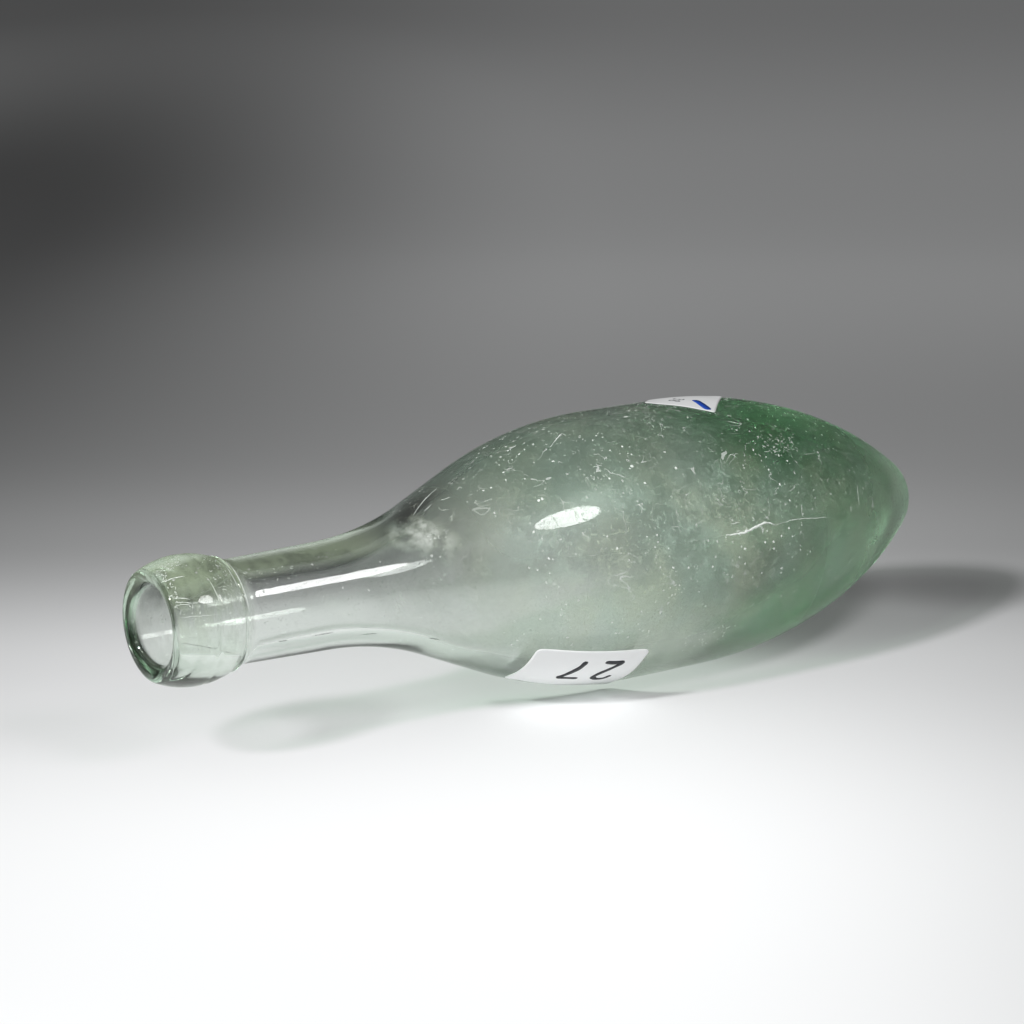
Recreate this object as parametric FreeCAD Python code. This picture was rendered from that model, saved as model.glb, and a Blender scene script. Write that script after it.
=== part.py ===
import FreeCAD, Part
import math
import os

# Glass body: stations run along the bottle from the mouth plane, in millimetres
overall_length = 233.4
belly_diameter = 70.0
neck_diameter = 25.3
neck_base_diameter = 27.0
shoulder_start = 61.4
shoulder_end = 111.4
throat_radius = 75.0
shoulder_radius = 102.0
belly_end = 153.9
nose_radius = 13.0

# Hollow inside the glass, lifted off centre so that the thick side of the wall lies downwards.
# It leaves its full width before the outside does, so the wall grows towards the base
bore_diameter = 19.0
bore_end = 22.0
passage_end = 36.0
wall = 4.2
hollow_lift = 1.8
hollow_belly_end = 146.0
base_thickness = 13.0
cavity_nose_radius = 10.0

# Applied lip: a second gather of glass wrapped round the end of the neck
lip_diameter = 31.4
lip_height = 21.6
lip_widest = 9.9
mouth_round = 3.0
rim_round = 1.2
mouth_land = 1.2
collar_height = 3.0
tool_line_width = 0.7
tool_line_depth = 0.35

# Paper labels stuck on the outside, with angles taken from the top towards -Y
paper_thickness = 0.15
glue_film = 0.05
front_label_start = 94.9
front_label_length = 30.5
front_label_height = 22.0
front_label_top_angle = 124.0
top_label_centre = 159.4
top_label_side = 18.2
top_label_turn = 45.0
top_label_angle = -3.0

# Sizes that follow from the ones above
belly_radius = belly_diameter / 2
neck_radius = neck_diameter / 2
neck_base_radius = neck_base_diameter / 2
bore_radius = bore_diameter / 2
passage_radius = neck_base_radius - wall
neck_end = mouth_round + mouth_land
axis_base = FreeCAD.Vector(0, 0, belly_radius)
axis_direction = FreeCAD.Vector(1, 0, 0)


def place(station, radius):
    """A point of the half section, above the bottle's axis."""
    return FreeCAD.Vector(station - overall_length / 2, 0, belly_radius + radius)


def line(start, end):
    return Part.LineSegment(start, end).toShape()


def arc(centre, radius, start, end):
    """The short arc about a centre from start to end."""
    middle = (start + end) * 0.5 - centre
    middle.normalize()
    return Part.Arc(start, centre + middle * radius, end).toShape()


def round_corner(before, corner, after, radius):
    """The two tangent points and the centre of an arc that rounds one corner."""
    back = before - corner
    back.normalize()
    ahead = after - corner
    ahead.normalize()
    half_angle = back.getAngle(ahead) / 2
    reach = radius / math.tan(half_angle)
    bisector = back + ahead
    bisector.normalize()
    centre = corner + bisector * (radius / math.sin(half_angle))
    return corner + back * reach, corner + ahead * reach, centre


def bottle_outline(neck_start, neck, neck_base, belly, straight_end, nose, tip, offset):
    """Neck, throat, shoulder, belly, flank and nose, as lines and tangent arcs.

    The offset moves the shoulder's slope square to itself, and every arc keeps its centre.
    """
    slope = math.atan2(belly_radius - neck_base_radius, shoulder_end - shoulder_start)
    shift = offset * math.tan(slope / 2)
    neck_top = place(neck_start, neck)
    neck_corner = place(shoulder_start - shift, neck_base)
    belly_corner = place(shoulder_end - shift, belly)
    flank_start = place(straight_end, belly)
    throat = throat_radius - offset
    shoulder = shoulder_radius + offset
    throat_in, throat_out, throat_centre = round_corner(neck_top, neck_corner, belly_corner, throat)
    shoulder_in, shoulder_out, shoulder_centre = round_corner(
        neck_corner, belly_corner, flank_start, shoulder)

    # The flank leaves the belly along the axis and runs tangent into the nose
    run = tip - nose - straight_end
    flank = (run ** 2 + belly ** 2 - nose ** 2) / (2 * (belly - nose))
    flank_centre = place(straight_end, belly - flank)
    nose_centre = place(tip - nose, 0)
    towards_nose = nose_centre - flank_centre
    towards_nose.normalize()
    flank_end = flank_centre + towards_nose * flank
    return [
        line(neck_top, throat_in),
        arc(throat_centre, throat, throat_in, throat_out),
        line(throat_out, shoulder_in),
        arc(shoulder_centre, shoulder, shoulder_in, shoulder_out),
        line(shoulder_out, flank_start),
        arc(flank_centre, flank, flank_start, flank_end),
        arc(nose_centre, nose, flank_end, place(tip, 0)),
    ]


def outside_outline(offset):
    """The outside of the glass from the foot of the lip to the tip, or a skin over it."""
    return bottle_outline(lip_height, neck_radius + offset, neck_base_radius + offset,
                          belly_radius + offset, belly_end, nose_radius + offset,
                          overall_length + offset, offset)


def section(edges):
    return Part.Face(Part.Wire(Part.__sortEdges__(edges)))


def turn(face, angle):
    return face.revolve(axis_base, axis_direction, angle)


def half_section(start, offset):
    """The bottle's outside from one station on, or a skin over it, filled in down to the axis."""
    neck_foot = place(lip_height, neck_radius + offset)
    neck_top = place(start, neck_radius + offset)
    on_axis = place(start, 0)
    edges = outside_outline(offset) + [
        line(place(overall_length + offset, 0), on_axis),
        line(on_axis, neck_top),
    ]
    if start < lip_height:
        edges.append(line(neck_top, neck_foot))
    return section(edges)


def ring(station, radius):
    return Part.Wire(Part.makeCircle(radius, place(station, 0), axis_direction))


def make_hollow():
    """Bore, slanting neck passage and belly hollow, as one solid to take out of the glass."""
    lift = FreeCAD.Vector(0, 0, hollow_lift)
    tip = overall_length - base_thickness
    bore = Part.makeCylinder(bore_radius, bore_end, place(0, 0), axis_direction)
    lifted_ring = ring(passage_end, passage_radius).translated(lift)
    passage = Part.makeLoft([ring(bore_end, bore_radius), lifted_ring], True, True)
    outline = bottle_outline(passage_end, passage_radius, passage_radius, belly_radius - wall,
                             hollow_belly_end, cavity_nose_radius, tip, -wall)
    belly = turn(section(outline + [
        line(place(tip, 0), place(passage_end, 0)),
        line(place(passage_end, 0), place(passage_end, passage_radius)),
    ]), 360).translated(lift)
    return bore.fuse([passage, belly])


def make_glass_body():
    return turn(half_section(neck_end, 0.0), 360).cut(make_hollow()).Solids[0]


def make_applied_lip():
    lip_radius = lip_diameter / 2
    crest_radius = bore_radius + mouth_round
    collar_start = lip_height - collar_height

    # The blob is one curve, level at its widest ring and tangent to the rim's small round
    run = lip_widest - rim_round
    rise = lip_radius - crest_radius
    blob = (run ** 2 + rise ** 2 - rim_round ** 2) / (2 * (rise - rim_round))
    blob_centre = place(lip_widest, lip_radius - blob)
    rim_centre = place(rim_round, crest_radius)
    outward = rim_centre - blob_centre
    outward.normalize()
    rim_end = blob_centre + outward * blob
    widest = place(lip_widest, lip_radius)

    # A tool line parts the blob from its foot, which tapers on to the neck
    line_run = collar_start - tool_line_width / 2 - lip_widest
    collar_radius = lip_radius - blob + math.sqrt(blob ** 2 - line_run ** 2)
    line_start = place(collar_start - tool_line_width / 2, collar_radius)
    line_bottom = place(collar_start, collar_radius - tool_line_depth)
    line_end = place(collar_start + tool_line_width / 2, collar_radius)
    foot = place(lip_height, neck_radius)

    crest = place(0, crest_radius)
    bore_edge = place(mouth_round, bore_radius)
    neck_inside = place(neck_end, bore_radius)
    neck_outside = place(neck_end, neck_radius)
    return turn(section([
        arc(place(mouth_round, crest_radius), mouth_round, bore_edge, crest),
        arc(rim_centre, rim_round, crest, rim_end),
        arc(blob_centre, blob, rim_end, widest),
        arc(blob_centre, blob, widest, line_start),
        line(line_start, line_bottom),
        line(line_bottom, line_end),
        line(line_end, foot),
        line(foot, neck_outside),
        line(neck_outside, neck_inside),
        line(neck_inside, bore_edge),
    ]), 360)


def paper_strip(start, length):
    """Half section of a paper skin that is glued on the glass over one stretch of the bottle."""
    end = start + length
    top = belly_diameter
    corners = [place(start, 0), place(start, top), place(end, top), place(end, 0), place(start, 0)]
    window = Part.Face(Part.makePolygon(corners))
    outer = half_section(lip_height, glue_film + paper_thickness)
    skin = outer.cut(half_section(lip_height, glue_film))
    return skin.common(window).Faces[0]


def make_front_label():
    strip = paper_strip(front_label_start, front_label_length)
    middle_radius = strip.CenterOfMass.z - belly_radius
    strip.rotate(axis_base, axis_direction, front_label_top_angle)
    return turn(strip, math.degrees(front_label_height / middle_radius))


def make_top_label():
    strip = paper_strip(top_label_centre - top_label_side, top_label_side * 2)
    strip.rotate(axis_base, axis_direction, -90)
    skin = turn(strip, 180)
    cutter = Part.makeBox(top_label_side, top_label_side, belly_diameter)
    cutter.translate(FreeCAD.Vector(-top_label_side / 2, -top_label_side / 2, 0))
    cutter.rotate(FreeCAD.Vector(), FreeCAD.Vector(0, 0, 1), top_label_turn)
    cutter.translate(place(top_label_centre, 0))
    label = skin.common(cutter).Solids[0]
    label.rotate(axis_base, axis_direction, top_label_angle)
    return label


os.makedirs("parts", exist_ok=True)
make_glass_body().exportStep("parts/glass_body.step")
make_applied_lip().exportStep("parts/applied_lip.step")
make_front_label().exportStep("parts/front_label.step")
make_top_label().exportStep("parts/top_label.step")
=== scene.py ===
import math
import random

import bmesh
import bpy
from mathutils import Matrix, Vector, noise


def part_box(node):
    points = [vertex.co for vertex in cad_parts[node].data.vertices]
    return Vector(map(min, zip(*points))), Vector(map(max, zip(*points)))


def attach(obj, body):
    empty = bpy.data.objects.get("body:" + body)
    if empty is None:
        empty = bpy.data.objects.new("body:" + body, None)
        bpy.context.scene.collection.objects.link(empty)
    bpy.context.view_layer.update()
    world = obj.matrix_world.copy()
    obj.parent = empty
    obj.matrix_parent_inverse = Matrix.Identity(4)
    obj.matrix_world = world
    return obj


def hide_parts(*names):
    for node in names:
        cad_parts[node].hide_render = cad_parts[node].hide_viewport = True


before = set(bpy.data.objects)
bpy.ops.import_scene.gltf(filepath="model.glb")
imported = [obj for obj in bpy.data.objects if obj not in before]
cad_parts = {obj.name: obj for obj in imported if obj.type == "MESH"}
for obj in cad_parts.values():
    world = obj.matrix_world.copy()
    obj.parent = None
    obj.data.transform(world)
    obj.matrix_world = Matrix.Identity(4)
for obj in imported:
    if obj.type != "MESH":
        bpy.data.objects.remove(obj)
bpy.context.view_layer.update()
bodyLow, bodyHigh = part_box("glass_body")
lipLow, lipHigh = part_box("applied_lip")

mm = 0.001  # shapes are drawn in millimetres, with stations counted along the bottle from its mouth
bottleLength = (bodyHigh.x - lipLow.x) / mm
bellyRadius = (bodyHigh.y - bodyLow.y) / 2 / mm
lipRadius = (lipHigh.y - lipLow.y) / 2 / mm
lipHeight = (lipHigh.x - lipLow.x) / mm


# small helpers for drawing profiles in the plane of station and radius

def linePoints(start, end, spacing):
    count = max(1, math.ceil((end - start).length / spacing))
    return [start.lerp(end, i / count) for i in range(count)]


def arcPoints(centre, start, end, spacing):
    fromAngle = math.atan2(start.y - centre.y, start.x - centre.x)
    toAngle = math.atan2(end.y - centre.y, end.x - centre.x)
    sweep = (toAngle - fromAngle + math.pi) % math.tau - math.pi
    radius = (start - centre).length
    count = max(2, math.ceil(abs(sweep) * radius / spacing))
    angles = [fromAngle + sweep * i / count for i in range(count)]
    return [centre + Vector((math.cos(a), math.sin(a))) * radius for a in angles]


def roundCorner(before, corner, after, radius):
    back = (before - corner).normalized()
    ahead = (after - corner).normalized()
    half = back.angle(ahead) / 2
    reach = radius / math.tan(half)
    centre = corner + (back + ahead).normalized() * (radius / math.sin(half))
    return corner + back * reach, corner + ahead * reach, centre


def smoothStep(low, high, value):
    t = min(1.0, max(0.0, (value - low) / (high - low)))
    return t * t * (3 - 2 * t)


# bottle glass: one melted piece of body and lip, spun from its half section

bottleGlass = {
    "neckRadius": 12.65,
    "neckBaseRadius": 13.5,
    "shoulderStart": 61.4,
    "shoulderEnd": 111.4,
    "throatArc": 75.0,
    "shoulderArc": 102.0,
    "bellyEnd": 153.9,
    "noseArc": 13.0,
    "boreRadius": 9.5,
    "boreEnd": 22.0,
    "passageEnd": 36.0,
    "wall": 4.2,
    "hollowLift": 1.8,
    "baseThickness": 13.0,
    "hollowBellyEnd": 146.0,
    "hollowNoseArc": 10.0,
    "liftStart": 81.4,  # the hollow rises off centre between these two stations
    "liftEnd": 126.4,
    "mouthRound": 3.0,
    "rimRound": 1.2,
    "lipWidest": 9.9,
    "collarHeight": 3.0,
    "toolLineWidth": 0.7,
    "toolLineDepth": 0.35,
    "creaseAt": 11.0,
    "creaseWidth": 0.6,
    "creaseDepth": 0.16,
    "creaseWander": 0.5,
    "creaseTurn": 0.6,
    "segments": 192,
    "bodySpacing": 1.3,
    "lipSpacing": 0.45,
    "outsideRipple": {"depth": 0.07, "seed": 3.1, "calmTip": 6.0},
    "insideRipple": {"depth": 0.25, "seed": 11.7, "calmTip": 8.0, "grows": (30.0, 70.0)},
    "rippleSize": 26.0,
    "fineRipple": 0.4,
    "fineScale": 2.7,
}
crestRadius = bottleGlass["boreRadius"] + bottleGlass["mouthRound"]


def bellyTrace(neckStart, neck, neckBase, belly, bellyEnd, nose, tip, offset):
    g = bottleGlass
    slope = math.atan2(bellyRadius - g["neckBaseRadius"], g["shoulderEnd"] - g["shoulderStart"])
    shift = offset * math.tan(slope / 2)
    neckTop = Vector((neckStart, neck))
    neckCorner = Vector((g["shoulderStart"] - shift, neckBase))
    bellyCorner = Vector((g["shoulderEnd"] - shift, belly))
    flankStart = Vector((bellyEnd, belly))
    throatIn, throatOut, throatCentre = roundCorner(
        neckTop, neckCorner, bellyCorner, g["throatArc"] - offset)
    shoulderIn, shoulderOut, shoulderCentre = roundCorner(
        neckCorner, bellyCorner, flankStart, g["shoulderArc"] + offset)
    run = tip - nose - bellyEnd
    flank = (run ** 2 + belly ** 2 - nose ** 2) / (2 * (belly - nose))
    flankCentre = Vector((bellyEnd, belly - flank))
    noseCentre = Vector((tip - nose, 0))
    flankEnd = flankCentre + (noseCentre - flankCentre).normalized() * flank
    step = g["bodySpacing"]
    return (linePoints(neckTop, throatIn, step)
            + arcPoints(throatCentre, throatIn, throatOut, step)
            + linePoints(throatOut, shoulderIn, step)
            + arcPoints(shoulderCentre, shoulderIn, shoulderOut, step)
            + linePoints(shoulderOut, flankStart, step)
            + arcPoints(flankCentre, flankStart, flankEnd, step)
            + arcPoints(noseCentre, flankEnd, Vector((tip, 0)), step * 0.7))


def lipTrace():
    g = bottleGlass
    step = g["lipSpacing"]
    run = g["lipWidest"] - g["rimRound"]
    rise = lipRadius - crestRadius
    blob = (run ** 2 + rise ** 2 - g["rimRound"] ** 2) / (2 * (rise - g["rimRound"]))
    blobCentre = Vector((g["lipWidest"], lipRadius - blob))
    rimCentre = Vector((g["rimRound"], crestRadius))
    rimEnd = blobCentre + (rimCentre - blobCentre).normalized() * blob
    toolLine = lipHeight - g["collarHeight"]
    halfLine = g["toolLineWidth"] / 2
    lineRun = toolLine - halfLine - g["lipWidest"]
    collarRadius = lipRadius - blob + math.sqrt(blob ** 2 - lineRun ** 2)
    lineStart = Vector((toolLine - halfLine, collarRadius))
    lineBottom = Vector((toolLine, collarRadius - g["toolLineDepth"]))
    lineEnd = Vector((toolLine + halfLine, collarRadius))
    foot = Vector((lipHeight, g["neckRadius"]))
    crest = Vector((0, crestRadius))
    boreEdge = Vector((g["mouthRound"], g["boreRadius"]))
    mouthCentre = Vector((g["mouthRound"], crestRadius))
    return (arcPoints(mouthCentre, boreEdge, crest, step)
            + arcPoints(rimCentre, crest, rimEnd, step)
            + arcPoints(blobCentre, rimEnd, lineStart, step)
            + linePoints(lineStart, lineBottom, step)
            + linePoints(lineBottom, lineEnd, step)
            + linePoints(lineEnd, foot, step))


def hollowTrace():
    g = bottleGlass
    passage = g["neckBaseRadius"] - g["wall"]
    bore = [Vector((g["mouthRound"], g["boreRadius"])), Vector((g["boreEnd"], g["boreRadius"]))]
    neck = Vector((g["passageEnd"], passage))
    return (linePoints(bore[0], bore[1], g["bodySpacing"])[1:]
            + linePoints(bore[1], neck, g["bodySpacing"])
            + bellyTrace(g["passageEnd"], passage, passage, bellyRadius - g["wall"], g["hollowBellyEnd"],
                         g["hollowNoseArc"], bottleLength - g["baseThickness"], -g["wall"]))


outsideTrace = lipTrace() + bellyTrace(
    lipHeight, bottleGlass["neckRadius"], bottleGlass["neckBaseRadius"], bellyRadius,
    bottleGlass["bellyEnd"], bottleGlass["noseArc"], bottleLength, 0.0)
insideTrace = hollowTrace()


def ripple(station, angle, radius, seed):
    g = bottleGlass
    spot = Vector((station, radius * math.sin(angle), radius * math.cos(angle))) / g["rippleSize"]
    wide = noise.noise(spot + Vector((seed, 0, 0)))
    fine = noise.noise(spot * g["fineScale"] + Vector((0, seed, 0)))
    return (wide + g["fineRipple"] * fine) / (1 + g["fineRipple"])


def outsideRadius(station, angle, radius):
    g = bottleGlass
    waves = g["outsideRipple"]
    depth = waves["depth"] * (ripple(station, angle, radius, waves["seed"]) - 1) / 2
    # a shallow crease runs unevenly round the lip
    wander = g["creaseAt"] + g["creaseWander"] * math.sin(angle * 2 + g["creaseTurn"])
    crease = g["creaseDepth"] * math.exp(-((station - wander) / g["creaseWidth"]) ** 2)
    return radius + depth * smoothStep(0, waves["calmTip"], radius) - crease


def insideRadius(station, angle, radius):
    waves = bottleGlass["insideRipple"]
    depth = waves["depth"] * ripple(station, angle, radius, waves["seed"])
    return radius + depth * smoothStep(*waves["grows"], station) * smoothStep(0, waves["calmTip"], radius)


def inFrame(station, angle, radius, lift=0.0):
    y = -radius * math.sin(angle)
    z = bellyRadius + lift + radius * math.cos(angle)
    return Vector((lipLow.x + station * mm, y * mm, z * mm))


def addRings(mesh, trace, radiusAt, lifted):
    count = bottleGlass["segments"]
    rings = []
    for point in trace:
        rise = smoothStep(bottleGlass["liftStart"], bottleGlass["liftEnd"], point.x)
        lift = bottleGlass["hollowLift"] * rise if lifted else 0.0
        ring = []
        for i in range(count):
            angle = math.tau * i / count
            ring.append(mesh.verts.new(
                inFrame(point.x, angle, radiusAt(point.x, angle, point.y), lift)))
        rings.append(ring)
    return rings


def bridgeRings(mesh, first, second):
    for i in range(len(first)):
        j = (i + 1) % len(first)
        mesh.faces.new((first[i], first[j], second[j], second[i]))


def closeTip(mesh, ring, tip):
    point = mesh.verts.new(tip)
    for i in range(len(ring)):
        mesh.faces.new((ring[i], ring[(i + 1) % len(ring)], point))


def addPiece(name, mesh, material):
    data = bpy.data.meshes.new(name)
    mesh.to_mesh(data)
    mesh.free()
    for face in data.polygons:
        face.use_smooth = True
    piece = bpy.data.objects.new(name, data)
    bpy.context.scene.collection.objects.link(piece)
    data.materials.append(material)
    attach(piece, "root")
    return piece


# air bubbles caught in the wall of the neck and shoulder

bubbles = {
    "depth": 2.0,
    "width": 1.1,
    "flat": 0.22,
    # station, angle in degrees and length of each
    "spots": [(41.2, 121, 6.0), (30.3, 121, 2.6), (55.0, 132, 4.0), (72.1, 135, 2.6), (169.0, 48.6, 1.5)],
}


def traceRadius(trace, station):
    if station <= trace[0].x:
        return trace[0].y
    for before, after in zip(trace, trace[1:]):
        if before.x <= station <= after.x:
            share = (station - before.x) / max(1e-9, after.x - before.x)
            return before.y + (after.y - before.y) * share
    return 0.0


bodyTrace = [p for p in outsideTrace if p.y > crestRadius or p.x >= lipHeight]


def addBubbles(mesh):
    for station, degrees, length in bubbles["spots"]:
        angle = math.radians(degrees)
        radius = traceRadius(bodyTrace, station) - bubbles["depth"]
        middle = inFrame(station, angle, radius)
        slope = inFrame(station + 1, angle, traceRadius(bodyTrace, station + 1) - bubbles["depth"])
        along = (slope - middle).normalized()
        made = bmesh.ops.create_icosphere(mesh, subdivisions=3, radius=1.0)
        turn = along.to_track_quat("X", "Z")
        size = Vector((length / 2, bubbles["width"] / 2, bubbles["flat"] / 2)) * mm
        for vert in made["verts"]:
            vert.co = middle + turn @ (vert.co * size)
        faces = {face for vert in made["verts"] for face in vert.link_faces}
        bmesh.ops.reverse_faces(mesh, faces=list(faces))


def buildBottle(material):
    mesh = bmesh.new()
    insideMark = mesh.verts.layers.float.new("insideWall")
    outside = addRings(mesh, outsideTrace, outsideRadius, False)
    inside = addRings(mesh, insideTrace, insideRadius, True)
    for ring in inside:
        for vert in ring:
            vert[insideMark] = 1.0
    for rings in (outside, inside):
        for first, second in zip(rings, rings[1:]):
            bridgeRings(mesh, first, second)
    bridgeRings(mesh, outside[0], inside[0])
    closeTip(mesh, outside[-1], inFrame(bottleLength, 0, 0))
    closeTip(mesh, inside[-1], inFrame(bottleLength - bottleGlass["baseThickness"], 0, 0,
                                       bottleGlass["hollowLift"]))
    bmesh.ops.recalc_face_normals(mesh, faces=mesh.faces)
    addBubbles(mesh)
    piece = addPiece("bottleGlass", mesh, material)
    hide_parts("glass_body", "applied_lip")
    return piece


# drawing on the bottle's outside: a station, an angle from the top towards the camera's side, and a height

def onGlass(station, angle, height):
    reach = 0.5
    radius = traceRadius(bodyTrace, station)
    slope = (traceRadius(bodyTrace, station + reach)
             - traceRadius(bodyTrace, station - reach)) / (2 * reach)
    tilt = math.hypot(1, slope)
    lifted = outsideRadius(station, angle, radius) + height / tilt
    return inFrame(station - height * slope / tilt, angle, lifted)


def addRibbon(mesh, path, widths, place, low, high):
    rows = []
    for i, point in enumerate(path):
        ahead = (path[min(i + 1, len(path) - 1)] - path[max(i - 1, 0)]).normalized()
        across = Vector((-ahead.y, ahead.x)) * widths[i] / 2
        left, right = point + across, point - across
        rows.append([mesh.verts.new(place(p.x, p.y, h))
                     for p, h in ((left, low), (right, low), (right, high), (left, high))])
    for first, second in zip(rows, rows[1:]):
        bridgeRings(mesh, first, second)
    mesh.faces.new(rows[0][::-1])
    mesh.faces.new(rows[-1])


def smoothPath(points, spacing):
    ends = [points[0] * 2 - points[1]] + points + [points[-1] * 2 - points[-2]]
    path = []
    for a, b, c, d in zip(ends, ends[1:], ends[2:], ends[3:]):
        count = max(1, math.ceil((c - b).length / spacing))
        for i in range(count):
            t = i / count
            path.append(0.5 * (b * 2 + (c - a) * t + (a * 2 - b * 5 + c * 4 - d) * t ** 2
                               + (b * 3 - a - c * 3 + d) * t ** 3))
    return path + [points[-1]]


# paper labels: a shelf number below the front and a tilted square on top

paperSheet = {
    "glueGap": 0.04,
    "thickness": 0.13,
    "grid": 0.6,
    "cockleScale": 0.22,
    "flatEdge": 4.0,
    "curlReach": 4.5,
}
frontLabel = {
    "start": 94.9,
    "length": 30.5,
    "height": 22.0,
    "topAngle": 124.0,
    "corner": 1.6,
    "curl": 0.25,
    "cockle": 0.10,
}
topLabel = {
    "centre": 159.4,
    "side": 18.2,
    "turn": 45.0,
    "angle": -3.0,
    "corner": 0.8,
    "curl": 0.2,
    "cockle": 0.08,
}


def onFrontLabel(u, v, height):
    label = frontLabel
    middle = traceRadius(bodyTrace, label["start"] + label["length"] / 2)
    angle = math.radians(label["topAngle"]) + (label["height"] / 2 - v) / middle
    return onGlass(label["start"] + label["length"] / 2 + u, angle, height)


def onTopLabel(u, v, height):
    label = topLabel
    turned = Vector((u, v))
    turned.rotate(Matrix.Rotation(math.radians(label["turn"]), 2))
    station = label["centre"] + turned.x
    angle = math.radians(label["angle"]) - math.asin(turned.y / traceRadius(bodyTrace, station))
    return onGlass(station, angle, height)


def paperRise(label, width, height, u, v):
    s = paperSheet
    toEdge = min(width / 2 - abs(u), height / 2 - abs(v))
    toCorner = math.hypot(max(0, width / 2 - abs(u)), max(0, height / 2 - abs(v)))
    bump = noise.noise(Vector((u * s["cockleScale"], v * s["cockleScale"], width)))
    return (s["glueGap"] + label["cockle"] * max(0.0, bump) * smoothStep(0, s["flatEdge"], toEdge)
            + label["curl"] * (1 - smoothStep(0, s["curlReach"], toCorner)))


def roundedSpot(u, v, width, height, corner):
    du, dv = abs(u) - (width / 2 - corner), abs(v) - (height / 2 - corner)
    if du <= 0 or dv <= 0:
        return u, v
    share = max(du, dv) / math.hypot(du, dv)
    return (math.copysign(width / 2 - corner + du * share, u),
            math.copysign(height / 2 - corner + dv * share, v))


def buildLabel(name, label, width, height, place, node, material):
    mesh = bmesh.new()
    columns = math.ceil(width / paperSheet["grid"])
    rows = math.ceil(height / paperSheet["grid"])
    sides = []
    for lift in (0.0, paperSheet["thickness"]):
        side = []
        for i in range(columns + 1):
            line = []
            for j in range(rows + 1):
                u, v = width * (i / columns - 0.5), height * (j / rows - 0.5)
                u, v = roundedSpot(u, v, width, height, label["corner"])
                rise = paperRise(label, width, height, u, v)
                line.append(mesh.verts.new(place(u, v, rise + lift)))
            side.append(line)
        sides.append(side)
    for i in range(columns):
        for j in range(rows):
            for side in sides:
                mesh.faces.new((side[i][j], side[i + 1][j], side[i + 1][j + 1], side[i][j + 1]))
    under, over = sides
    rims = [[side[i][0] for i in range(columns + 1)] + [side[columns][j] for j in range(1, rows + 1)]
            + [side[i][rows] for i in range(columns - 1, -1, -1)]
            + [side[0][j] for j in range(rows - 1, 0, -1)] for side in (under, over)]
    bridgeRings(mesh, rims[0], rims[1])
    bmesh.ops.recalc_face_normals(mesh, faces=mesh.faces)
    piece = addPiece(name, mesh, material)
    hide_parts(node)
    return piece


# pen strokes for the figures, drawn in a box one high

penStrokes = {
    "2": [[(0.05, 0.76), (0.16, 0.95), (0.36, 1.0), (0.54, 0.86), (0.50, 0.64), (0.30, 0.36), (0.03, 0.04)],
          [(0.03, 0.04), (0.30, 0.06), (0.60, 0.02)]],
    "7": [[(0.02, 0.95), (0.30, 0.96), (0.60, 1.0)],
          [(0.60, 1.0), (0.42, 0.62), (0.28, 0.30), (0.22, 0.0)]],
    "3": [[(0.05, 0.86), (0.24, 1.0), (0.48, 0.90), (0.44, 0.66), (0.22, 0.54)],
          [(0.22, 0.54), (0.52, 0.44), (0.54, 0.16), (0.30, 0.0), (0.03, 0.12)]],
    "8": [[(0.30, 0.53), (0.08, 0.74), (0.20, 0.98), (0.46, 0.94), (0.48, 0.72), (0.14, 0.34), (0.14, 0.06),
           (0.42, 0.02), (0.54, 0.24), (0.30, 0.53)]],
}
frontNumber = {"figures": "27", "tall": 9.6, "pitch": 9.0, "centre": (1.0, 2.2), "turn": 180.0, "pen": 1.45}
topNumber = {"figures": "38", "tall": 2.8, "pitch": 2.4, "centre": (-3.6, 1.6), "turn": 160.0, "pen": 0.42}
topBar = {"from": (-1.8, -3.0), "to": (-8.2, -7.4), "pen": 2.1, "spacing": 0.4}
inkFilm = {"low": 0.004, "high": 0.016, "penStep": 0.25, "endWidth": 0.55, "uneven": 0.16, "unevenScale": 0.6}
inkColours = {
    "dark": (0.035, 0.037, 0.042, 1.0),
    "grey": (0.16, 0.17, 0.18, 1.0),
    "blue": (0.012, 0.06, 0.36, 1.0),
}


def addStroke(mesh, path, pen, label, width, height, place):
    ink = inkFilm

    def onPaper(u, v, lift):
        return place(u, v, paperRise(label, width, height, u, v) + paperSheet["thickness"] + lift)
    widths = []
    for i, p in enumerate(path):
        fromEnd = min(i, len(path) - 1 - i)
        end = min(1.0, ink["endWidth"] + (1 - ink["endWidth"]) * fromEnd / 2)
        shake = noise.noise(Vector((p.x * ink["unevenScale"], p.y * ink["unevenScale"], pen)))
        widths.append(pen * end * (1 + ink["uneven"] * shake))
    addRibbon(mesh, path, widths, onPaper, ink["low"], ink["high"])


def buildNumber(name, number, label, width, height, place, material):
    mesh = bmesh.new()
    turn = Matrix.Rotation(math.radians(number["turn"]), 2)
    tall, centre = number["tall"], Vector(number["centre"])
    for i, figure in enumerate(number["figures"]):
        left = (i - len(number["figures"]) / 2) * number["pitch"]
        for stroke in penStrokes[figure]:
            points = [turn @ Vector((left + x * tall, (y - 0.5) * tall)) + centre for x, y in stroke]
            path = smoothPath(points, number["pen"] * inkFilm["penStep"])
            addStroke(mesh, path, number["pen"], label, width, height, place)
    return addPiece(name, mesh, material)


def buildBar(material):
    mesh = bmesh.new()
    side = topLabel["side"]
    start, end = Vector(topBar["from"]), Vector(topBar["to"])
    path = linePoints(start, end, topBar["spacing"]) + [end]
    addStroke(mesh, path, topBar["pen"], topLabel, side, side, onTopLabel)
    return addPiece("topBlueBar", mesh, material)


# wear on the outside: a hazy mineral stain, pale flakes, scratches and short scuffs, and a pale stroke along
# the lip's tool line that is a painted highlight

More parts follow.
